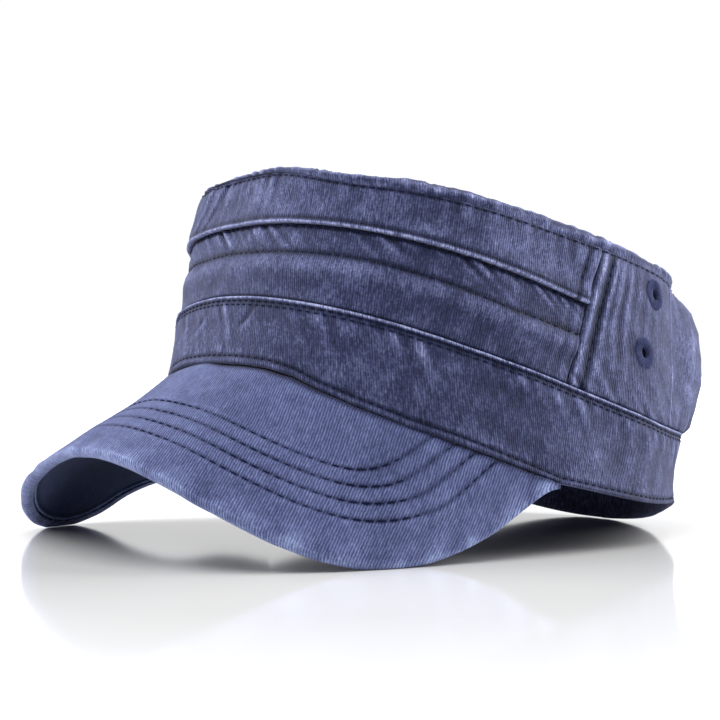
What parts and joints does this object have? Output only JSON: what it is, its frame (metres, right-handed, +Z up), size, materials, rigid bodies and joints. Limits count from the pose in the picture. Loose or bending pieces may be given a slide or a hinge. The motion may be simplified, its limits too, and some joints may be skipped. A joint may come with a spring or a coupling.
{
  "type": "kepi cap",
  "caption": "Soft flat-topped cloth cap with an upright panelled side wall, a headband and a curved stitched peak.",
  "frame": {"origin": "middle of the cap's plan, on the surface that it stands on", "axes": "+Z up, the peak points to -Y, the wearer's left is +X; the cap lies as it stands by itself, tilted back"},
  "size_m": [0.191, 0.245, 0.123],
  "materials": {
    "crown_twill": "washed cotton twill, worn pale at its edges",
    "peak_twill": "washed cotton twill, a little bluer",
    "peak_lining": "dark cotton twill",
    "eyelet_thread": "dark embroidery thread"
  },
  "bodies": {
    "root": {"crown_top": "crown_twill", "crown_edge": "crown_twill", "front_upper_panel": "crown_twill", "front_lower_panel": "crown_twill", "side_panel_left": "crown_twill", "side_panel_right": "crown_twill", "rear_panel": "crown_twill", "headband": "crown_twill", "peak_cover": "peak_twill", "peak_underside": "peak_lining", "eyelet_left_upper": "eyelet_thread", "eyelet_left_lower": "eyelet_thread", "eyelet_right_upper": "eyelet_thread", "eyelet_right_lower": "eyelet_thread"}
  },
  "joints": []
}
